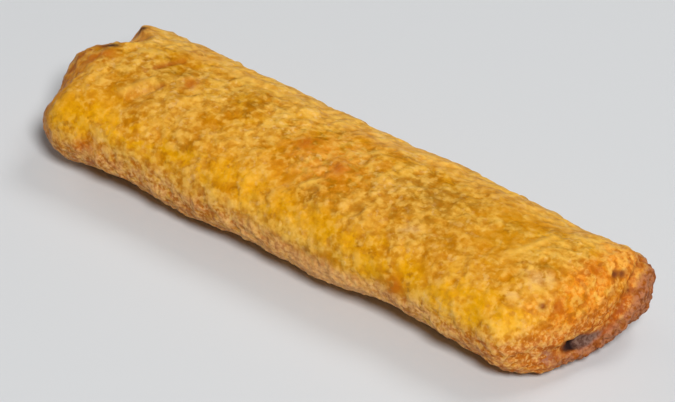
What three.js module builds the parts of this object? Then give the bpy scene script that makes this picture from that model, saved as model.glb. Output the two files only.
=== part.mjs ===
// A deep-fried savoury roll: one fat tube of pastry, pressed a little flat, its ends folded in and sealed.
// Millimetres, +Z up. The origin is on the surface that the roll lies on, under its middle.
// +X runs along the roll to the end whose seam gapes, and +Y across it. The roll is one solid.

import * as THREE from "three";
import { mergeVertices } from "three/addons/utils/BufferGeometryUtils.js";

const ROLL = {
  length: 172, // end to end
  width: 50,
  height: 27.5,
  sectionPower: 2.3, // 2 is an ellipse, 4 is nearly a box
  restingCut: 0.9, // how far up the round underside is flattened, where the roll lies
};

// Each end narrows over its cap. A higher power is a blunter end, and skew leans it across the roll.
// Its folds are the lobes and notches of the dough that was tucked in: where across and up the end,
// how far out along X, how wide and how tall.
const PLAIN_END = {
  side: -1,
  cap: 15.4,
  power: 1.65,
  skew: -0.06,
  folds: [
    { y: 19, z: 25, out: 3, wide: 3.4, tall: 6 },
    { y: 15, z: 15, out: -2, wide: 5, tall: 6 },
    { y: 9.5, z: 25, out: -5, wide: 4.4, tall: 14 },
    { y: -1, z: 23, out: 1.8, wide: 5, tall: 12 },
    { y: -12, z: 22, out: -2.4, wide: 5.5, tall: 9 },
    { y: -22, z: 12, out: 0.4, wide: 6, tall: 10 },
  ],
};
const SEAM_END = {
  side: 1,
  cap: 14.8,
  power: 2.5,
  skew: 0.24,
  folds: [
    { y: 20, z: 23, out: 2.4, wide: 5, tall: 7 },
    { y: 11, z: 13, out: 1.7, wide: 7, tall: 6 },
    { y: 10, z: 3, out: -2.6, wide: 4.6, tall: 5 },
  ],
};

// The mesh starts as a box of this many faces each way. Its two end faces cover the last of each cap,
// inside the rim, where the section has shrunk to rimScale.
const GRID = { along: 68, across: 22, up: 16, capColumns: 8, rimScale: 0.72 };

// Slow swells and hollows: where along the roll, which way they face across it, how far out and how long.
const NEAR_UNDERSIDE = [-0.73, -0.69];
const NEAR_SIDE = [-1, 0];
const FAR_SHOULDER = [0.73, 0.69];
const SWELLS = [
  { x: -74, facing: NEAR_SIDE, out: 1.4, reach: 12 },
  { x: -56, facing: NEAR_UNDERSIDE, out: -1.8, reach: 15 },
  { x: -12, facing: NEAR_UNDERSIDE, out: -0.8, reach: 28 },
  { x: 44, facing: NEAR_UNDERSIDE, out: -2.6, reach: 23 },
  { x: 84, facing: NEAR_UNDERSIDE, out: 2.2, reach: 9 },
  { x: 68, facing: FAR_SHOULDER, out: -1.4, reach: 14 },
  { x: 87, facing: FAR_SHOULDER, out: 3, reach: 8 },
];

// A hollow pressed in beside the notch of the plain end.
const PRESSED_HOLLOW = { x: -76, y: 7, z: 25, depth: 1.6, reach: 7 };

// The seam end: an upper flap comes down over a lower lip, and the seam between them rises across the end.
const SEAM = {
  lowZ: 9.3,
  highZ: 20.5,
  riseFrom: -4.5,
  riseTo: 17,
  grooveDepth: 1.1,
  grooveHalf: 2.2,
  lipOut: 1.4,
  gape: { y: -6, z: 9.4, halfLength: 5, halfHeight: 2, depth: 1.3 },
};

// Creases that the folding left in the top, from one point to another in plan.
const CREASES = [
  { from: [-57, -17], to: [-49, -5], depth: 0.8, half: 2.4 },
  { from: [-56, -3], to: [-51, 7], depth: 0.7, half: 2.4 },
];

const BLISTERS = { count: 90, radius: [4, 8], height: [0.25, 0.7], seed: 11 };

const LUMPS = { count: 9, height: 0.16, wavelength: [17, 60], seed: 4 };

const clamp01 = (t) => Math.min(1, Math.max(0, t));

const smooth = (from, to, value) => {
  const t = clamp01((value - from) / (to - from));
  return t * t * (3 - 2 * t);
};

const bell = (offset, reach) => Math.exp(-((offset / reach) ** 2));

const signedPower = (value, power) => Math.sign(value) * Math.abs(value) ** power;

// A repeatable random number from 0 to 1.
function seededRandom(seed) {
  let state = seed;
  return () => {
    state = (state + 0x6d2b79f5) | 0;
    let t = Math.imul(state ^ (state >>> 15), 1 | state);
    t = (t + Math.imul(t ^ (t >>> 7), 61 | t)) ^ t;
    return ((t ^ (t >>> 14)) >>> 0) / 4294967296;
  };
}

const between = ([low, high], share) => low + (high - low) * share;

// How far along X a cap's surface is where its section has shrunk to this scale.
const capX = (end, scale) =>
  end.side * (ROLL.length / 2 - end.cap * (1 - (1 - scale ** end.power) ** (1 / end.power)));

// Where the columns of the mesh stand along the roll, and how far the section has shrunk at each.
function columnStations() {
  const capOf = (end) =>
    Array.from({ length: GRID.capColumns }, (_, i) => {
      const rimTurn = Math.acos(GRID.rimScale ** (end.power / 2));
      const scale = Math.cos(between([rimTurn, 0], i / GRID.capColumns)) ** (2 / end.power);
      return { x: capX(end, scale), scale };
    });
  const bodyColumns = GRID.along - 2 * GRID.capColumns;
  const body = Array.from({ length: bodyColumns + 1 }, (_, i) => ({
    x: between([capX(PLAIN_END, 1), capX(SEAM_END, 1)], i / bodyColumns),
    scale: 1,
  }));
  return [...capOf(PLAIN_END), ...body, ...capOf(SEAM_END).reverse()];
}

// Maps a point of the box, from -1 to 1 each way, onto the plain tube: its square section is drawn out
// to a disc and then to a superellipse, and an end face is bent round the end.
function boxToTube(point, stations) {
  const fullHeight = ROLL.height + ROLL.restingCut;
  const u = point.y * Math.sqrt(1 - point.z ** 2 / 2);
  const v = point.z * Math.sqrt(1 - point.y ** 2 / 2);
  const angle = Math.atan2(v, u);
  const end = point.x < 0 ? PLAIN_END : SEAM_END;
  const onEndFace = Math.abs(point.x) > 0.9999;
  const endScale = GRID.rimScale * Math.hypot(u, v);
  const column = Math.round(((point.x + 1) / 2) * GRID.along);
  const { x, scale } = onEndFace ? { x: capX(end, endScale), scale: endScale } : stations[column];
  const y = (scale * ROLL.width * signedPower(Math.cos(angle), 2 / ROLL.sectionPower)) / 2;
  const z = (scale * fullHeight * signedPower(Math.sin(angle), 2 / ROLL.sectionPower)) / 2;
  const lean = end.skew * Math.abs((2 * x) / ROLL.length) ** 4;
  return point.set(x + lean * y, y, z + fullHeight / 2 - ROLL.restingCut);
}

// The closed tube, before its relief.
function tubeGeometry() {
  const box = new THREE.BoxGeometry(2, 2, 2, GRID.along, GRID.across, GRID.up);
  box.deleteAttribute("normal");
  box.deleteAttribute("uv");
  const geometry = mergeVertices(box);
  const positions = geometry.getAttribute("position");
  const stations = columnStations();
  const point = new THREE.Vector3();
  for (let i = 0; i < positions.count; i += 1) {
    boxToTube(point.fromBufferAttribute(positions, i), stations);
    positions.setXYZ(i, ...point);
  }
  geometry.computeVertexNormals();
  return geometry;
}

// Slow waves that run over the whole roll, each in its own direction.
function makeLumps() {
  const random = seededRandom(LUMPS.seed);
  const waves = Array.from({ length: LUMPS.count }, () => {
    const direction = new THREE.Vector3(random() - 0.5, random() - 0.5, random() - 0.5).normalize();
    const wavelength = between(LUMPS.wavelength, random());
    return { direction: direction.multiplyScalar((2 * Math.PI) / wavelength), phase: 2 * Math.PI * random() };
  });
  return (point) =>
    waves.reduce((sum, wave) => sum + LUMPS.height * Math.sin(point.dot(wave.direction) + wave.phase), 0);
}

// Soft domes where the crust puffed in the oil, scattered over the surface.
function makeBlisters(positions) {
  const random = seededRandom(BLISTERS.seed);
  const domes = Array.from({ length: BLISTERS.count }, () => ({
    centre: new THREE.Vector3().fromBufferAttribute(positions, Math.floor(random() * positions.count)),
    radius: between(BLISTERS.radius, random()),
    height: between(BLISTERS.height, random()),
  }));
  return (point) =>
    domes.reduce((sum, { centre, radius, height }) => {
      const rim = 1 - point.distanceToSquared(centre) / radius ** 2;
      return rim > 0 ? sum + height * rim * rim : sum;
    }, 0);
}

function creaseDepth(point) {
  const flat = new THREE.Vector3(point.x, point.y, 0);
  return CREASES.reduce((sum, { from, to, depth, half }) => {
    const line = new THREE.Line3(new THREE.Vector3(...from, 0), new THREE.Vector3(...to, 0));
    const away = line.closestPointToPoint(flat, true, new THREE.Vector3()).distanceTo(flat);
    return point.z > ROLL.height / 2 ? sum + depth * bell(away, half) : sum;
  }, 0);
}

const swellOut = (point, normal) =>
  SWELLS.reduce((sum, { x, facing: [y, z], out, reach }) => {
    const share = Math.max(0, normal.y * y + normal.z * z);
    return sum + out * share * share * bell(point.x - x, reach);
  }, 0);

// How far along X the folds of an end move a point. They fade out where the cap meets the body.
function foldPush(end, point) {
  const share = smooth(ROLL.length / 2 - end.cap * 1.5, ROLL.length / 2 - end.cap * 0.5, end.side * point.x);
  const push = end.folds.reduce(
    (sum, fold) => sum + fold.out * bell(point.y - fold.y, fold.wide) * bell(point.z - fold.z, fold.tall),
    0,
  );
  return end.side * share * push;
}

// How far along X the flap, lip and seam of that end move a point.
function seamPush(point) {
  const share = smooth(ROLL.length / 2 - SEAM_END.cap * 0.75, ROLL.length / 2 - SEAM_END.cap * 0.25, point.x);
  const seamZ = between([SEAM.lowZ, SEAM.highZ], smooth(SEAM.riseFrom, SEAM.riseTo, point.y));
  const groove = SEAM.grooveDepth * bell(point.z - seamZ, SEAM.grooveHalf);
  const lip = SEAM.lipOut * smooth(seamZ, seamZ - 3, point.z) * smooth(0, 5, point.z);
  const { gape } = SEAM;
  const gapeShare = bell(point.y - gape.y, gape.halfLength) * bell(point.z - gape.z, gape.halfHeight);
  return share * (lip - groove - gape.depth * gapeShare);
}

// Splits each four-sided face of the mesh along its shorter diagonal, so that the folds come out cleanly.
function splitAlongShorterDiagonal(geometry) {
  const positions = geometry.getAttribute("position");
  const corner = (i) => new THREE.Vector3().fromBufferAttribute(positions, i);
  const old = geometry.getIndex().array;
  const faces = [];
  for (let i = 0; i < old.length; i += 6) {
    // The box lists each four-sided face as the triangles abd and bcd.
    const [a, b, d, , c] = old.subarray(i, i + 5);
    const alongBD = corner(b).distanceTo(corner(d)) <= corner(a).distanceTo(corner(c));
    faces.push(...(alongBD ? [a, b, d, b, c, d] : [a, b, c, a, c, d]));
  }
  geometry.setIndex(faces);
}

function hollowDepth(point) {
  const { x, y, z, depth, reach } = PRESSED_HOLLOW;
  return depth * bell(point.distanceTo(new THREE.Vector3(x, y, z)), reach);
}

function rollGeometry() {
  const geometry = tubeGeometry();
  const positions = geometry.getAttribute("position");
  const normals = geometry.getAttribute("normal");
  const lumps = makeLumps();
  const blisters = makeBlisters(positions);
  const point = new THREE.Vector3();
  const normal = new THREE.Vector3();
  const moved = [];
  for (let i = 0; i < positions.count; i += 1) {
    point.fromBufferAttribute(positions, i);
    normal.fromBufferAttribute(normals, i);
    const raised = lumps(point) + blisters(point) + swellOut(point, normal);
    const relief = raised - creaseDepth(point) - hollowDepth(point);
    const alongX = foldPush(PLAIN_END, point) + foldPush(SEAM_END, point) + seamPush(point);
    point.addScaledVector(normal, relief);
    moved.push([point.x + alongX, point.y, Math.max(point.z, 0)]);
  }
  moved.forEach((xyz, i) => positions.setXYZ(i, ...xyz));
  splitAlongShorterDiagonal(geometry);
  geometry.computeBoundingBox();
  const middle = geometry.boundingBox.getCenter(new THREE.Vector3());
  geometry.translate(-middle.x, -middle.y, 0);
  geometry.computeVertexNormals();
  return geometry;
}

const roll = new THREE.Group();
const crust = new THREE.MeshStandardMaterial({ color: 0xd89a34, roughness: 0.55, metalness: 0 });
const pastry = new THREE.Mesh(rollGeometry(), crust);
pastry.name = "pastry_roll";
roll.add(pastry);

export default roll;
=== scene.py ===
import math
import time

import bmesh
import bpy
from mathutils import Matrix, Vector


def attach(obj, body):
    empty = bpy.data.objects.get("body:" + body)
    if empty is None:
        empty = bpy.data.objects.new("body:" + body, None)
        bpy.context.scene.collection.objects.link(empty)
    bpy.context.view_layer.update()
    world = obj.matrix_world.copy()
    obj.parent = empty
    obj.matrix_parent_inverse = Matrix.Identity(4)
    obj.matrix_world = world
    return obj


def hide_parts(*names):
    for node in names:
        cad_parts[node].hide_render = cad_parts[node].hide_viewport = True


# A deep-fried savory roll on a pale floor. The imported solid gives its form, and this script its crust.
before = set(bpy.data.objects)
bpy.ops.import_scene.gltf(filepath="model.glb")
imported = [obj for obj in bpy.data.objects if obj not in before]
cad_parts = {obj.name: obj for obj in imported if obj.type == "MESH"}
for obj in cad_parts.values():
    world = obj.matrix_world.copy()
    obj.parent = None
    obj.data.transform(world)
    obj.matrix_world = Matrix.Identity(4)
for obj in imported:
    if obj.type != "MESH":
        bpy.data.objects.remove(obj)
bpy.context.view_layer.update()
started = time.time()
mm = 0.001  # a millimetre, in metres


def say(stage):
    print(f"{stage}, {time.time() - started:.1f} s in")


def colour(red, green, blue):
    # a screen colour, 0 to 255, as the linear colour that a shader takes
    shares = [value / 255 for value in (red, green, blue)]
    linear = [s / 12.92 if s <= 0.04045 else ((s + 0.055) / 1.055) ** 2.4 for s in shares]
    return (*linear, 1.0)


def pickSocket(sockets, key):
    # by place, or by name among the sockets that the node's settings leave in use
    if isinstance(key, int):
        return sockets[key]
    return next(s for s in sockets if s.name == key and s.enabled)


class Wire:
    # one output of a node, which can be added to, multiplied and fed to other nodes
    def __init__(self, tree, socket=None):
        self.tree = tree
        self.socket = socket

    def node(self, kind, settings=None, inputs=None, output=0):
        made = self.tree.nodes.new(kind)
        for name, value in (settings or {}).items():
            setattr(made, name, value)
        for key, value in (inputs or {}).items():
            socket = pickSocket(made.inputs, key)
            if isinstance(value, Wire):
                self.tree.links.new(value.socket, socket)
            else:
                socket.default_value = value
        return Wire(self.tree, pickSocket(made.outputs, output) if made.outputs else None)

    def other(self, output):
        # another output of the node that this one comes from
        return Wire(self.tree, pickSocket(self.socket.node.outputs, output))

    def math(self, operation, *operands):
        return self.node("ShaderNodeMath", {"operation": operation}, dict(enumerate(operands)))

    def __add__(self, value):
        return self.math("ADD", self, value)

    __radd__ = __add__

    def __sub__(self, value):
        return self.math("SUBTRACT", self, value)

    def __rsub__(self, value):
        return self.math("SUBTRACT", value, self)

    def __mul__(self, value):
        return self.math("MULTIPLY", self, value)

    __rmul__ = __mul__

    def __rtruediv__(self, value):
        return self.math("DIVIDE", value, self)

    def __neg__(self):
        return self.math("MULTIPLY", self, -1.0)

    def size(self):
        return self.math("ABSOLUTE", self)

    def atLeast(self, value):
        return self.math("MAXIMUM", self, value)

    def atMost(self, value):
        return self.math("MINIMUM", self, value)

    def step(self, low, high, fromValue=0.0, toValue=1.0):
        # a smooth step, which is fromValue below low and toValue above high
        limits = {"From Min": low, "From Max": high, "To Min": fromValue, "To Max": toValue}
        settings = {"interpolation_type": "SMOOTHSTEP"}
        return self.node("ShaderNodeMapRange", settings, {"Value": self} | limits, "Result")

    def fall(self, low, high):
        return self.step(low, high, 1.0, 0.0)

    def bell(self, middle, reach):
        # 1 at the middle, falling to 0.37 at the reach
        away = (self - middle) * (1 / reach)
        return self.math("EXPONENT", -(away * away))

    def vector(self, operation, *operands):
        return self.node("ShaderNodeVectorMath", {"operation": operation}, dict(enumerate(operands)))

    def scaled(self, factor):
        inputs = {"Vector": self, "Scale": factor}
        return self.node("ShaderNodeVectorMath", {"operation": "SCALE"}, inputs)

    def away(self, point):
        settings = {"operation": "DISTANCE"}
        return self.node("ShaderNodeVectorMath", settings, {0: self, 1: point}, "Value")

    def near(self, point, reach):
        # a round spot: 1 at the point, falling to 0.37 at the reach
        return self.away(point).bell(0.0, reach)

    def line(self, begin, end, reach):
        # a stroke: 1 on the line between two points, falling to 0.37 at the reach from it
        span = Vector(end) - Vector(begin)
        fromBegin = self.vector("SUBTRACT", self, begin)
        settings = {"operation": "DOT_PRODUCT"}
        inputs = {0: fromBegin, 1: span / span.length_squared}
        along = self.node("ShaderNodeVectorMath", settings, inputs, "Value").atLeast(0.0).atMost(1.0)
        inputs = {"Vector": span, "Scale": along}
        foot = self.node("ShaderNodeVectorMath", {"operation": "SCALE"}, inputs)
        return fromBegin.away(foot).bell(0.0, reach)

    def noise(self, size, detail=2.0, roughness=0.5, distortion=0.0, shift=0.0):
        # soft noise, about 0 to 1, whose lumps measure about size
        place = self.vector("ADD", self, (shift, shift * 0.7, -shift)) if shift else self
        inputs = {"Vector": place, "Scale": 1 / size, "Detail": detail, "Roughness": roughness}
        return self.node("ShaderNodeTexNoise", {}, inputs | {"Distortion": distortion}, "Fac")

    def cells(self, size, shift=0.0):
        # the distance to the nearest of points strewn about size apart, as a share of size
        place = self.vector("ADD", self, (shift, -shift, shift * 0.6)) if shift else self
        return self.node("ShaderNodeTexVoronoi", {}, {"Vector": place, "Scale": 1 / size}, "Distance")

    def flakes(self, size, shift=0.0):
        # a random height, 0 to 1, for each of many soft-edged flakes about size across
        place = self.vector("ADD", self, (-shift, shift, shift * 0.4)) if shift else self
        inputs = {"Vector": place, "Scale": 1 / size, "Smoothness": 0.9}
        settings = {"feature": "SMOOTH_F1"}
        tint = self.node("ShaderNodeTexVoronoi", settings, inputs, "Color")
        return tint.node("ShaderNodeSeparateXYZ", {}, {"Vector": tint})

    def dome(self, edge):
        # a round dome over the place where this distance is 0, down to 0 at the edge
        share = (self * (1 / edge)).atMost(1.0)
        return 1.0 - share * share

    def blend(self, share, other):
        # this colour where share is 0, and the other where it is 1
        settings = {"data_type": "RGBA", "clamp_factor": True}
        return self.node("ShaderNodeMix", settings, {"Factor": share, "A": self, "B": other}, "Result")


# The crust's relief, in millimetres: each kind of bump has a height and a size.
crust = {
    "voxel": 0.42, "kept": 0.58,
    "smoothing": 14,
    "swellHeight": 0.7, "swellSize": 15.0,
    "blisterHeight": 0.45, "blisterSize": 8.0,
    "clumpHeight": 0.42, "clumpSize": 3.0,
    "flakeHeight": 0.5, "flakeSize": 3.2,
    "crumbHeight": 0.3, "crumbSize": 1.7,
    "streakHeight": 0.65, "streakSize": 2.4,
    "wrinkleHeight": 0.24, "wrinkleSize": 2.6,
    "pebbleHeight": 0.4, "pebbleSize": 1.6,
    "grainHeight": 0.2, "grainSize": 1.6,
    "netHeight": 0.45, "netSize": 3.2,
    "lumpHeight": 0.9, "lumpSize": 3.4,
    "creaseDepth": 0.8, "foldHeight": 0.48, "ringHeight": 0.3,
    "grooveDepth": 0.7, "gapeDepth": 0.9, "lipPebbleHeight": 0.5,
    "earOut": 2.8,
    "driftSize": 2.5, "driftReach": 3.0,
    "wobbleSize": 9.0, "roughPatchSize": 11.0,
    "seed": 3.0,
}

# Where the roll's features lie, in millimetres in the solid's frame.
places = {
    "pebblesBelow": 16.0,  # the lower sides are pebbly, and the top is wrinkled
    "seamLow": 8.6, "seamHigh": 20.8,
    "seamRiseFrom": -2.8, "seamRiseTo": 17.4,
    "gapeAcross": -4.5, "gapeHalfLength": 4.6, "gapeHalfHeight": 1.3,
    "ashSpot": (78.1, -13.9, 8.6),
    "pits": [  # each with its depth
        ((81.8, 8.6, 22.5), 1.3), ((82.7, 10.4, 21.9), 1.1), ((84.8, 11.4, 17.0), 0.5),
        ((76.1, -13.2, 22.7), 0.7), ((70.7, -18.0, 23.4), 0.35), ((78.3, -10.4, 22.1), 0.3),
    ],
    "ring": (4.8, -15.2, 25.7), "ringRadius": 3.0,
    "duskyPatches": [
        ((11.0, -13.0, 26.5), 11.0), ((33.0, -5.0, 27.5), 13.0), ((35.0, 1.0, 27.5), 9.0),
        ((-30.0, 2.0, 27.5), 9.0), ((-55.0, -2.0, 27.7), 8.0), ((-34.0, -18.0, 24.0), 8.0),
    ],
    "creaseReach": 0.8,
    "creases": [
        ((-59.3, -0.2, 27.7), (-56.2, 7.4, 27.1)),
        ((-57.6, -13.0, 25.8), (-53.0, -5.0, 27.4)),
    ],
    "folds": [
        ((-60.2, -12.0, 26.2), (-56.6, -4.6, 27.5)),
        ((2.0, -14.2, 26.2), (4.5, -10.9, 27.0)),
        ((60.6, -5.7, 27.2), (63.5, 2.2, 27.7)),
        ((63.5, 2.2, 27.7), (64.5, 6.6, 27.1)),
    ],
    "redSpots": [
        (-7.5, -2.2, 27.5), (6.5, -5.5, 27.5), (-47.3, -0.2, 27.5), (-76.0, -6.0, 26.0),
        (-73.9, -3.2, 27.0), (78.5, -10.7, 22.6), (80.5, 4.0, 26.0), (38.5, -23.3, 17.3),
        (-62.3, -24.7, 14.6),
    ],
    "yellowSpots": [
        (11.1, -20.5, 22.9), (0.7, -20.1, 22.5), (22.6, -21.4, 22.6), (29.7, -23.5, 19.7),
        (41.1, -21.6, 20.3), (-10.9, -19.9, 21.8), (-20.1, -18.8, 23.2), (52.8, -22.7, 19.2),
        (-69.2, -21.7, 21.6), (-65.4, -23.0, 19.8), (-76.0, -18.0, 20.5), (-72.0, -22.5, 17.5),
        (70.0, -20.0, 20.0), (62.0, -22.5, 19.0),
    ],
    "paleSpots": [(34.8, -12.2, 26.1), (70.9, -9.0, 26.2), (72.8, -7.2, 26.0), (68.6, -15.9, 24.5)],
    "earTip": (-76.0, 17.5, 25.5), "earReach": 3.2,
    "lobe": (-78.0, -17.0, 20.0), "lobeReach": 8.0,
    "burntEdges": [
        ((-77.4, 0.8, 26.3), (-74.6, 1.9, 26.9)),
        ((-77.8, 14.4, 23.4), (-76.8, 15.4, 24.3)),
    ],
    "brownEdges": [
        ((-77.4, 0.8, 26.3), (-79.6, -1.9, 25.7)),
        ((-79.6, -1.9, 25.7), (-81.8, -5.0, 23.6)),
        ((-81.8, -5.0, 23.6), (-82.2, -7.9, 20.5)),
        ((-80.8, -11.0, 19.8), (-77.5, -18.0, 20.3)),
    ],
    "net": (68.0, -4.0, 27.0), "netReach": 11.0,
    "glossyPatch": (54.0, 2.5, 27.5), "glossyReach": 11.0,
    "reddishPatch": (1.0, -3.0, 27.5), "reddishReach": 13.0,
}


def seamHeight(across):
    # how high the seam of the +X end runs, at a place across the roll
    rise = (places["seamRiseFrom"], places["seamRiseTo"])
    return across.step(*rise, places["seamLow"], places["seamHigh"])


def crustTree(name, sizes):
    tree = bpy.data.node_groups.new(name, "GeometryNodeTree")
    tree.interface.new_socket("Roll", in_out="INPUT", socket_type="NodeSocketGeometry")
    for label, value in sizes.items():
        kind = "NodeSocketInt" if isinstance(value, int) else "NodeSocketFloat"
        tree.interface.new_socket(label, in_out="INPUT", socket_type=kind)
    tree.interface.new_socket("Crust", in_out="INPUT", socket_type="NodeSocketMaterial")
    tree.interface.new_socket("Roll", in_out="OUTPUT", socket_type="NodeSocketGeometry")
    start = Wire(tree)
    given = start.node("NodeGroupInput")
    settled = {label: given.other(label) for label in sizes}

    # The facets of the solid are smoothed away.
    blurred = start.node(
        "GeometryNodeBlurAttribute", {"data_type": "FLOAT_VECTOR"},
        {"Value": start.node("GeometryNodeInputPosition"), "Iterations": settled["smoothing"]}, "Value",
    )
    roll = start.node(
        "GeometryNodeSetPosition", {}, {"Geometry": given.other("Roll"), "Position": blurred})

    at = start.node("GeometryNodeInputPosition").scaled(1 / mm)
    split = at.node("ShaderNodeSeparateXYZ", {}, {"Vector": at})
    x, y, z = split, split.other("Y"), split.other("Z")
    seeded = at.vector("ADD", at, start.node("ShaderNodeCombineXYZ", {}, {"X": settled["seed"]}))
    inputs = {"Vector": seeded, "Scale": 1 / settled["driftSize"], "Detail": 2.0}
    drift = seeded.node("ShaderNodeTexNoise", {}, inputs, "Color")
    drift = drift.vector("SUBTRACT", drift, (0.5, 0.5, 0.5)).scaled(settled["driftReach"])
    drifted = seeded.vector("ADD", seeded, drift)

    def ridges(size, sharpness, shift):
        # worm-like folds, which run where the noise crosses its middle
        wave = drifted.noise(size, 2.0, 0.6, 0.3, shift)
        return (wave - 0.5).size().fall(0.0, 1 / sharpness)

    wobble = seeded.noise(settled["wobbleSize"], 3.0, 0.55, 0.0, 31.0) - 0.5
    side = (z + wobble * 9.0).fall(places["pebblesBelow"] - 3.0, places["pebblesBelow"] + 3.0)
    ends = (x + wobble * 12.0).step(68.0, 82.0).atLeast((x + wobble * 12.0).fall(-86.0, -76.0))
    glossy = at.near(places["glossyPatch"], places["glossyReach"])
    glossy = glossy * seeded.noise(6.0, 2.0, 0.5, 0.0, 77.0).step(0.4, 0.55)
    rough = seeded.noise(settled["roughPatchSize"], 3.0, 0.55, 0.0, 57.0).step(0.38, 0.56)
    rough = rough * (1.0 - glossy)

    swell = (seeded.noise(settled["swellSize"], 2.0) - 0.5) * settled["swellHeight"]
    blister = (drifted.cells(settled["blisterSize"]).dome(0.55) - 0.3) * (1.0 - rough * 0.5)
    clump = drifted.noise(settled["clumpSize"], 3.0, 0.6, 0.5, 12.0).step(0.4, 0.62)
    smallWorm = ridges(settled["wrinkleSize"] * 0.7, 7.0, 23.0)
    worm = ridges(settled["wrinkleSize"], 9.0, 0.0).atLeast(smallWorm * 0.8)
    pebble = drifted.cells(settled["pebbleSize"], 5.0).dome(0.7).atLeast(0.0)
    grain = seeded.noise(settled["grainSize"], 2.0, 0.6) - 0.5
    flake = drifted.flakes(settled["flakeSize"])
    crumb = drifted.flakes(settled["crumbSize"], 9.0)
    streak = seeded.noise(settled["streakSize"], 2.0, 0.5, 0.7, 63.0)
    net = ridges(settled["netSize"], 12.0, 44.0) * at.near(places["net"], places["netReach"])

    pebbled = pebble * side.atLeast(ends * 0.5)
    wrinkled = (worm * (rough * 0.6 + 0.4) * (1.0 - side * 0.6)).atLeast(net)
    relief = swell + blister * settled["blisterHeight"]
    relief = relief + (clump - 0.5) * (rough * 0.7 + 0.3) * settled["clumpHeight"]
    relief = relief + (wrinkled - 0.35) * settled["wrinkleHeight"] + net * settled["netHeight"]
    relief = relief + (pebbled - side * 0.5) * settled["pebbleHeight"]
    relief = relief + grain * settled["grainHeight"] * (side * 0.6 + 0.4)
    flaky = rough * 0.4 + 0.6
    for wave, label in ((streak, "streakHeight"), (flake, "flakeHeight"), (crumb, "crumbHeight")):
        relief = relief + (wave - 0.5) * settled[label] * flaky

    # Two creases, a few raised folds and a ring-shaped wrinkle on the top.
    for crease in places["creases"]:
        relief = relief - at.line(*crease, places["creaseReach"]) * settled["creaseDepth"]
    for fold in places["folds"]:
        relief = relief + at.line(*fold, places["creaseReach"]) * settled["foldHeight"]
    fromRing = at.away(places["ring"]) + wobble * 4.0
    raisedRing = fromRing.bell(places["ringRadius"], 1.0) - fromRing.bell(0.0, 2.0)
    relief = relief + raisedRing * settled["ringHeight"]

    # The seam of the +X end, the burnt gape in it, the pits, and the lumpy lip below.
    atSeamEnd = x.step(76.0, 82.0)
    overSeam = z - seamHeight(y) + wobble * 2.4
    groove = overSeam.bell(0.0, 1.1) * atSeamEnd
    gape = y.bell(places["gapeAcross"], places["gapeHalfLength"]) * atSeamEnd
    gape = gape * overSeam.bell(0.0, places["gapeHalfHeight"])
    carved = groove * settled["grooveDepth"] + gape * settled["gapeDepth"]
    for pit, depth in places["pits"]:
        carved = carved + at.near(pit, 1.0) * depth
    lip = (seamHeight(y) - z + wobble * 3.0).step(0.0, 2.0) * x.step(77.0, 82.0)
    lump = lip * drifted.cells(settled["lumpSize"], 17.0).dome(0.7).atLeast(0.0)
    relief = relief + lip * pebble * settled["lipPebbleHeight"]
    relief = relief + (lump - lip * 0.8) * settled["lumpHeight"] - carved
    relief = start.node(
        "GeometryNodeBlurAttribute", {"data_type": "FLOAT"}, {"Value": relief, "Iterations": 2}, "Value")

    # What the material needs is stored, and then the surface moves. Nothing goes below the floor.
    facing = start.node("GeometryNodeInputNormal")
    endward = facing.node("ShaderNodeSeparateXYZ", {}, {"Vector": facing}).fall(-0.75, -0.3)
    endward = endward * x.fall(-70.0, -66.0)
    stored = {
        "worm": wrinkled, "pebble": pebbled, "rough": rough,
        "flake": flake, "crumb": crumb, "streak": streak, "endward": endward,
        "carved": carved, "gape": gape, "lip": lip, "lump": lump,
    }
    for label, value in stored.items():
        roll = start.node(
            "GeometryNodeStoreNamedAttribute", {"data_type": "FLOAT", "domain": "POINT"},
            {"Geometry": roll, "Name": label, "Value": value},
        )
    ear = at.near(places["earTip"], places["earReach"]) * settled["earOut"]
    lean = start.node("ShaderNodeCombineXYZ", {}, {"X": ear * -mm})
    raised = start.node(
        "GeometryNodeSetPosition", {},
        {"Geometry": roll, "Offset": lean.vector("ADD", facing.scaled(relief * mm), lean)})
    place = start.node("GeometryNodeInputPosition")
    floorless = place.node("ShaderNodeSeparateXYZ", {}, {"Vector": place})
    resting = start.node(
        "ShaderNodeCombineXYZ", {},
        {"X": floorless, "Y": floorless.other("Y"), "Z": floorless.other("Z").atLeast(0.0)})
    rested = start.node("GeometryNodeSetPosition", {}, {"Geometry": raised, "Position": resting})
    shaded = start.node("GeometryNodeSetShadeSmooth", {}, {"Geometry": rested})
    real = start.node("GeometryNodeRealizeInstances", {}, {"Geometry": shaded})
    made = start.node(
        "GeometryNodeSetMaterial", {}, {"Geometry": real, "Material": given.other("Crust")})
    start.node("NodeGroupOutput", {}, {"Roll": made})
    return tree


def setInputs(modifier, values):
    tree = modifier.node_group
    for item in tree.interface.items_tree:
        if item.item_type == "SOCKET" and item.in_out == "INPUT" and item.name in values:
            modifier[item.identifier] = values[item.name]


def plainMesh(name, dressed):
    # the evaluated object as a plain mesh with no modifiers
    graph = bpy.context.evaluated_depsgraph_get()
    mesh = bpy.data.meshes.new_from_object(
        dressed.evaluated_get(graph), preserve_all_data_layers=True, depsgraph=graph)
    made = bpy.data.objects.new(name, mesh)
    bpy.context.scene.collection.objects.link(made)
    bpy.data.objects.remove(dressed)
    return made


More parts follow.
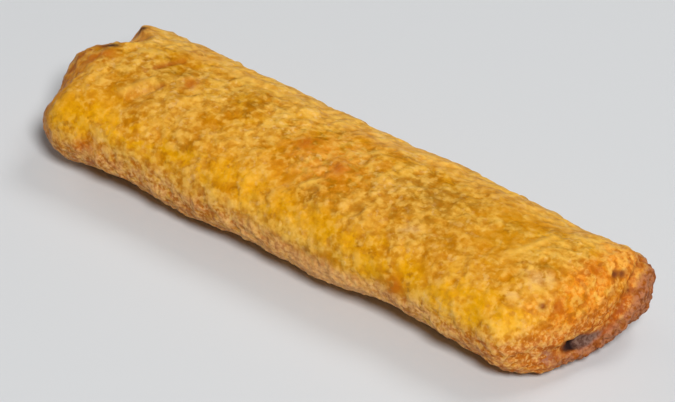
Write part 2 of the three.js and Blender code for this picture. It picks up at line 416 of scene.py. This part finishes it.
def crustedRoll(node, material):
    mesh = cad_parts[node].data.copy()
    merged = bmesh.new()
    merged.from_mesh(mesh)
    bmesh.ops.remove_doubles(merged, verts=merged.verts, dist=1e-6)
    merged.to_mesh(mesh)
    merged.free()
    rough = bpy.data.objects.new("roughRoll", mesh)
    bpy.context.scene.collection.objects.link(rough)
    remesh = rough.modifiers.new("evenFaces", "REMESH")
    remesh.mode = "VOXEL"
    remesh.voxel_size = crust["voxel"] * mm
    sizes = {label: value for label, value in crust.items() if label not in ("voxel", "kept")}
    relief = rough.modifiers.new("relief", "NODES")
    relief.node_group = crustTree("crustRelief", sizes)
    setInputs(relief, sizes | {"Crust": material})
    thinned = rough.modifiers.new("fewerFaces", "DECIMATE")
    thinned.ratio = crust["kept"]
    return plainMesh("fried_crust", rough)


# The crust's colours, as they show on a screen under a white light.
tints = {
    "gold": colour(214, 147, 0),
    "amber": colour(198, 123, 0),
    "honey": colour(208, 136, 2),
    "olive": colour(146, 92, 4),
    "pale": colour(235, 182, 76),
    "wheat": colour(246, 182, 86),
    "cream": colour(244, 206, 134),
    "yellow": colour(230, 164, 0),
    "straw": colour(242, 192, 92),
    "toast": colour(172, 99, 0),
    "brown": colour(178, 104, 36),
    "tan": colour(228, 168, 102),
    "orange": colour(222, 122, 22),
    "russet": colour(156, 74, 16),
    "smudge": colour(184, 92, 8),
    "lip": colour(114, 58, 28),
    "flaky": colour(182, 120, 84),
    # a near black for burnt edges and the gape, also used as painted shade in the deepest hollows
    "burntAndShade": colour(46, 30, 28),
    "ash": colour(150, 118, 104),
}


# How large the blotches of the crust are, in millimetres, and how it takes the light.
skinLook = {
    "broadSize": 18.0, "wobbleSize": 9.0, "patchySize": 6.5, "mottledSize": 3.2,
    "speckledSize": 1.7, "fleckSize": 1.2, "freckledSize": 0.8,
    "smoothest": 0.38, "roughest": 0.6,
    "specular": 0.06,
    "subsurface": 0.04, "subsurfaceDepth": 1.5,
    "bumpHeight": 0.18,
}


def painted(skin, layers):
    # the skin under these layers, each a share and the name of a tint
    for share, tint in layers:
        skin = skin.blend(share, tints[tint])
    return skin


def crustMaterial():
    material = bpy.data.materials.new("friedCrust")
    material.use_nodes = True
    tree = material.node_tree
    tree.nodes.clear()
    start = Wire(tree)
    at = start.node("ShaderNodeTexCoord", {}, {}, "Object").scaled(1 / mm)
    split = at.node("ShaderNodeSeparateXYZ", {}, {"Vector": at})
    x, y, z = split, split.other("Y"), split.other("Z")

    def stored(label):
        return start.node("ShaderNodeAttribute", {"attribute_name": label}, {}, "Fac")

    def patches(name, detail, roughness, distortion, shift):
        return at.noise(skinLook[name + "Size"], detail, roughness, distortion, shift)

    worm, pebble, rough = stored("worm"), stored("pebble"), stored("rough")
    flake, crumb, streak = stored("flake"), stored("crumb"), stored("streak")
    carved, gape, endward = stored("carved"), stored("gape"), stored("endward")
    lip, lump = stored("lip"), stored("lump")
    bend = at.node("ShaderNodeTexNoise", {}, {"Vector": at, "Scale": 0.6, "Detail": 2.0}, "Color")
    bent = at.vector("ADD", at, bend.vector("SUBTRACT", bend, (0.5, 0.5, 0.5)).scaled(2.4))
    wobble = patches("wobble", 3.0, 0.55, 0.0, 71.0) - 0.5
    broad = patches("broad", 3.0, 0.55, 0.0, 11.0)
    patchy = patches("patchy", 3.0, 0.6, 0.3, 45.0)
    mottled = patches("mottled", 3.0, 0.6, 0.3, 91.0)
    speckled = patches("speckled", 2.0, 0.5, 0.2, 37.0)
    freckled = patches("freckled", 1.0, 0.5, 0.2, 53.0)
    fleck = bent.flakes(skinLook["fleckSize"], 3.0)

    # The low sides are tan and brown. The shoulder away from the light is painted paler, a painted sheen
    # from the light behind it.
    lowered = x.bell(20.0, 24.0) * 3.0
    low = (z + wobble * 8.0 + lowered).fall(13.2, 19.6)
    high = 1.0 - low
    paintedSheenShoulder = (z + wobble * 5.0).step(15.0, 20.0) * y.step(8.0, 14.0)
    paler = streak.step(0.36, 0.6) * 0.5 + x.bell(10.0, 14.0) * 0.3 + 0.2
    skin = start.node("ShaderNodeRGB")
    skin.socket.default_value = tints["gold"]
    skin = painted(skin, [
        (patchy.step(0.42, 0.56) * 0.8, "amber"),
        (broad.step(0.46, 0.6) * 0.4, "olive"),
        (low * x.step(-10.0, 20.0, 0.95, 0.6), "brown"),
        (mottled.fall(0.36, 0.5) * 0.7, "olive"),
        (flake.fall(0.2, 0.5) * 0.5, "amber"),
        # painted sheen: the far shoulder is painted paler
        (paintedSheenShoulder * paler, "wheat"),
        (patchy.fall(0.36, 0.5) * rough * 0.3, "pale"),
        (mottled.step(0.46, 0.66) * (rough * 0.5 + 0.15), "pale"),
        (streak.step(0.46, 0.66) * (rough * 0.5 + 0.15), "pale"),
        (crumb.step(0.5, 0.85) * (rough * 0.3 + 0.1), "pale"),
        (speckled.step(0.46, 0.66) * (rough * 0.3 + 0.1), "pale"),
        # The tan tops of the low pebbles, the pale crests of the wrinkles and the cream flecks are the
        # crust's paler skin and also painted highlights and glints.
        (low * pebble.step(0.3, 0.8).atLeast(streak.step(0.48, 0.6)) * 0.8, "tan"),
        (high * (rough * 0.4 + 0.1) * worm, "pale"),
        (high * rough * fleck.step(0.6, 0.85) * 0.4, "cream"),
        (low * fleck.fall(0.1, 0.4) * 0.4, "russet"),
    ])

    # Pale, yellow, dusky and reddish patches on the top and the near shoulder, and a painted shade that
    # darkens the near half of the top.
    creamy = mottled.step(0.35, 0.5) * 0.7
    skin = painted(skin, [(at.near(spot, 2.0) * creamy, "cream") for spot in places["paleSpots"]])
    shoulder = (z + wobble * 5.0).bell(22.0, 2.6) * y.fall(-19.0, -13.0)
    yellow = shoulder * patchy.fall(0.42, 0.52)
    sunny = mottled.step(0.34, 0.5)
    for spot in places["yellowSpots"]:
        yellow = yellow.atLeast(at.near(spot, 4.0) * sunny)
    # painted shade: the near half of the top, brightly lit by the lamp in front, is darkened towards
    # amber
    paintedShadeNearTop = (z + wobble * 6.0).step(18.0, 22.0) * (y + wobble * 12.0).fall(-10.0, 0.0)
    dusky = mottled.fall(0.4, 0.6) * 0.3 + 0.12
    reddish = at.near(places["reddishPatch"], places["reddishReach"]) * mottled.step(0.4, 0.55)
    skin = painted(skin, [
        (yellow * (speckled.step(0.36, 0.5) * 0.4 + 0.4), "yellow"),
        (paintedShadeNearTop * 0.3, "amber"),
        *[(at.near(patch, reach) * dusky, "olive") for patch, reach in places["duskyPatches"]],
        (reddish * 0.45, "orange"),
    ])

    # The seam end is orange, and a fine grain runs over everything.
    redEnd = (x + wobble * 14.0).step(72.0, 81.0)
    grain = speckled.step(0.34, 0.66) * 0.5 + freckled.step(0.34, 0.66) * 0.12
    grain = grain + streak.step(0.36, 0.64) * 0.38
    dim = grain.fall(0.1, 0.5)
    glossy = at.near(places["glossyPatch"], places["glossyReach"]) * patchy.step(0.36, 0.5)
    skin = painted(skin, [
        (redEnd * (mottled.step(0.4, 0.55) * 0.4 + 0.35), "orange"),
        (redEnd * streak.fall(0.4, 0.5) * 0.5, "russet"),
        (redEnd * freckled.fall(0.36, 0.46) * 0.3, "russet"),
        (redEnd * fleck.step(0.5, 0.8) * 0.35, "wheat"),
        ((x + wobble * 12.0).step(52.0, 66.0) * low * 0.5, "smudge"),
        (grain.step(0.5, 0.9) * 0.35, "straw"),
        # less dark grain under the painted sheen of the far shoulder
        (dim * (1.0 - paintedSheenShoulder * 0.5) * 0.35, "toast"),
        (low * dim * 0.4, "russet"),
        (yellow * 0.3, "yellow"),
        (glossy * 0.75, "honey"),
        (low * x.step(-20.0, 10.0, 0.2, 0.0), "brown"),
        (low * x.bell(16.0, 20.0) * 0.7, "tan"),
        # cream flecks on the low sides: paler crumbs and painted glints
        (low * freckled.step(0.52, 0.64) * 0.28, "cream"),
        (low * freckled.fall(0.36, 0.48) * 0.28, "russet"),
        (at.near(places["lobe"], places["lobeReach"]) * 0.4, "yellow"),
    ])

    # The brown lip of the seam end, and the face of the plain end.
    upper = endward * (z + wobble * 4.0).step(16.0, 20.0)
    face = (endward - upper).atLeast(0.0) * (1.0 - at.near(places["earTip"], 7.0))
    skin = painted(skin, [
        (lip * 0.75, "lip"),
        (lump * 0.3, "smudge"),
        # pinkish flakes on the lip, which also serve as a painted sheen where light grazes it
        (lip * speckled.step(0.42, 0.52) * 0.65, "flaky"),
        (lip * freckled.fall(0.38, 0.48) * 0.4, "lip"),
        (upper * (mottled.step(0.4, 0.6) * 0.4 + 0.2), "orange"),
        (upper * streak.fall(0.4, 0.54) * 0.4, "russet"),
        (face * streak.step(0.4, 0.6, 1.0, 0.3) * 0.6, "orange"),
        (face * mottled.fall(0.4, 0.56) * 0.5, "russet"),
        (face * speckled.step(0.5, 0.62) * 0.5, "tan"),
    ])

    # Small marks: red spots, the ring, browned and burnt edges, painted shade in the creases and a
    # painted highlight along the folds.
    ruddy = mottled.step(0.3, 0.5) * 0.8
    charred = speckled.step(0.3, 0.45) * 0.9
    browned = speckled.step(0.35, 0.55) * 0.8
    narrow = places["creaseReach"]
    fromRing = at.away(places["ring"]) + wobble * 4.0
    skin = painted(skin, [(at.near(spot, 2.6) * ruddy, "smudge") for spot in places["redSpots"]])
    skin = painted(skin, [
        (fromRing.bell(places["ringRadius"], narrow) * speckled.step(0.4, 0.5) * 0.5, "pale"),
        (fromRing.bell(0.0, 2.2) * speckled.step(0.4, 0.55, 1.0, 0.3) * 0.6, "olive"),
    ])
    for edge in places["burntEdges"]:
        skin = painted(skin, [
            (at.line(*edge, 1.6) * 0.5, "russet"),
            (at.line(*edge, 1.0) * charred, "burntAndShade"),
        ])
    skin = painted(skin, [(at.line(*edge, narrow) * browned, "russet") for edge in places["brownEdges"]])
    # painted shade in the creases, and a painted highlight along the raised folds
    skin = painted(skin, [(at.line(*crease, narrow) * 0.8, "russet") for crease in places["creases"]])
    skin = painted(skin, [(at.line(*fold, 1.2) * 0.6, "pale") for fold in places["folds"]])

    # The seam, the pits and the gape, which is black at one end and ashen at the other. The groove and
    # the deepest hollows are darkened with their depth, a painted shade.
    ashenPart = (y + wobble * 6.0).step(-6.4, -3.6)
    ashen = gape.step(0.05, 0.3) * ashenPart
    skin = painted(skin, [
        # painted shade: darker with the depth of the carving
        (carved.step(0.15, 0.6) * speckled.step(0.35, 0.55, 0.8, 0.4), "russet"),
        (carved.step(0.6, 1.1) * 0.7, "burntAndShade"),
        *[(at.near(pit, 1.1) * depth * 0.8, "lip") for pit, depth in places["pits"]],
        (at.near(places["ashSpot"], 1.8) * speckled.step(0.4, 0.5) * 0.7, "ash"),
        (gape.step(0.15, 0.5) * (1.0 - ashenPart * 0.4), "burntAndShade"),
        (ashen * (freckled.step(0.4, 0.6) * 0.35 + 0.2), "ash"),
    ])

    height = {"Strength": 1.0, "Distance": skinLook["bumpHeight"] * mm, "Height": mottled + speckled}
    bump = start.node("ShaderNodeBump", {}, height, "Normal")
    surface = start.node("ShaderNodeBsdfPrincipled", {}, {
        "Base Color": skin,
        "Roughness": mottled.step(0.3, 0.7, skinLook["smoothest"], skinLook["roughest"]),
        "Normal": bump,
        "IOR": 1.45,
        "Specular IOR Level": skinLook["specular"],
        "Subsurface Weight": skinLook["subsurface"],
        "Subsurface Scale": skinLook["subsurfaceDepth"] * mm,
        "Subsurface Radius": (1.0, 0.5, 0.2),
    })
    start.node("ShaderNodeOutputMaterial", {}, {"Surface": surface})
    return material


# The floor, the light and the view.
studio = {
    "floorSize": 3.0, "floorColour": (0.645, 0.657, 0.669, 1.0),
    "skyStrength": 0.08,
    "lamps": [
        {"name": "softbox", "toRight": 0.5, "away": -2.15, "up": 2.26, "size": 0.85, "power": 95.0},
        {"name": "overhead", "toRight": 0.0, "away": 0.0, "up": 1.7, "size": 2.0, "power": 1.0},
        {"name": "back", "toRight": 0.8, "away": 0.4, "up": 1.5, "size": 0.8, "power": 7.8},
        {"name": "fill", "toRight": -1.0, "away": 1.2, "up": 0.8, "size": 0.8, "power": 3.0},
    ],
    "azimuth": 39.06, "elevation": 36.0, "distance": 1.2,
    "aim": (0.00102, 0.00033, 0.01237),
    "lens": 252.0, "sensor": 36.0,
}


def turned(right, away, up):
    # a direction given as the camera's user sees the floor, in the frame of the roll
    turn = math.radians(studio["azimuth"])
    across = right * math.cos(turn) - away * math.sin(turn)
    along = right * math.sin(turn) + away * math.cos(turn)
    return Vector((across, along, up))


def layFloor():
    half = studio["floorSize"] / 2
    mesh = bpy.data.meshes.new("floor")
    corners = [(-half, -half, 0), (half, -half, 0), (half, half, 0), (-half, half, 0)]
    mesh.from_pydata(corners, [], [(0, 1, 2, 3)])
    floor = bpy.data.objects.new("floor", mesh)
    bpy.context.scene.collection.objects.link(floor)
    material = bpy.data.materials.new("paleFloor")
    material.use_nodes = True
    shader = material.node_tree.nodes["Principled BSDF"]
    shader.inputs["Base Color"].default_value = studio["floorColour"]
    shader.inputs["Roughness"].default_value = 0.7
    shader.inputs["Specular IOR Level"].default_value = 0.2
    mesh.materials.append(material)


def lightRoom():
    scene = bpy.context.scene
    world = bpy.data.worlds.new("room")
    scene.world = world
    world.use_nodes = True
    background = world.node_tree.nodes["Background"]
    background.inputs["Color"].default_value = (1.0, 1.0, 1.0, 1.0)
    background.inputs["Strength"].default_value = studio["skyStrength"]
    for lamp in studio["lamps"]:
        light = bpy.data.lights.new(lamp["name"], "AREA")
        light.shape = "DISK"
        light.size = lamp["size"]
        light.energy = lamp["power"]
        holder = bpy.data.objects.new(lamp["name"], light)
        holder.location = turned(lamp["toRight"], lamp["away"], lamp["up"])
        holder.rotation_euler = (-holder.location).to_track_quat("-Z", "Y").to_euler()
        scene.collection.objects.link(holder)
    scene.view_settings.view_transform = "Standard"


def placeCamera():
    camera = bpy.data.cameras.new("view")
    camera.lens = studio["lens"]
    camera.sensor_width = studio["sensor"]
    camera.clip_end = 10.0
    holder = bpy.data.objects.new("view", camera)
    rise = math.radians(studio["elevation"])
    back = turned(0.0, -math.cos(rise), math.sin(rise))
    holder.location = Vector(studio["aim"]) + back * studio["distance"]
    holder.rotation_euler = back.to_track_quat("Z", "Y").to_euler()
    bpy.context.scene.collection.objects.link(holder)
    bpy.context.scene.camera = holder


placeCamera()
layFloor()
lightRoom()
say("camera, floor and light")
material = crustMaterial()
say("crust material")
roll = crustedRoll("pastry_roll", material)
roll.data.calc_loop_triangles()
say(f"fried crust, {len(roll.data.loop_triangles)} triangles")
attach(roll, "root")
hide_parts("pastry_roll")
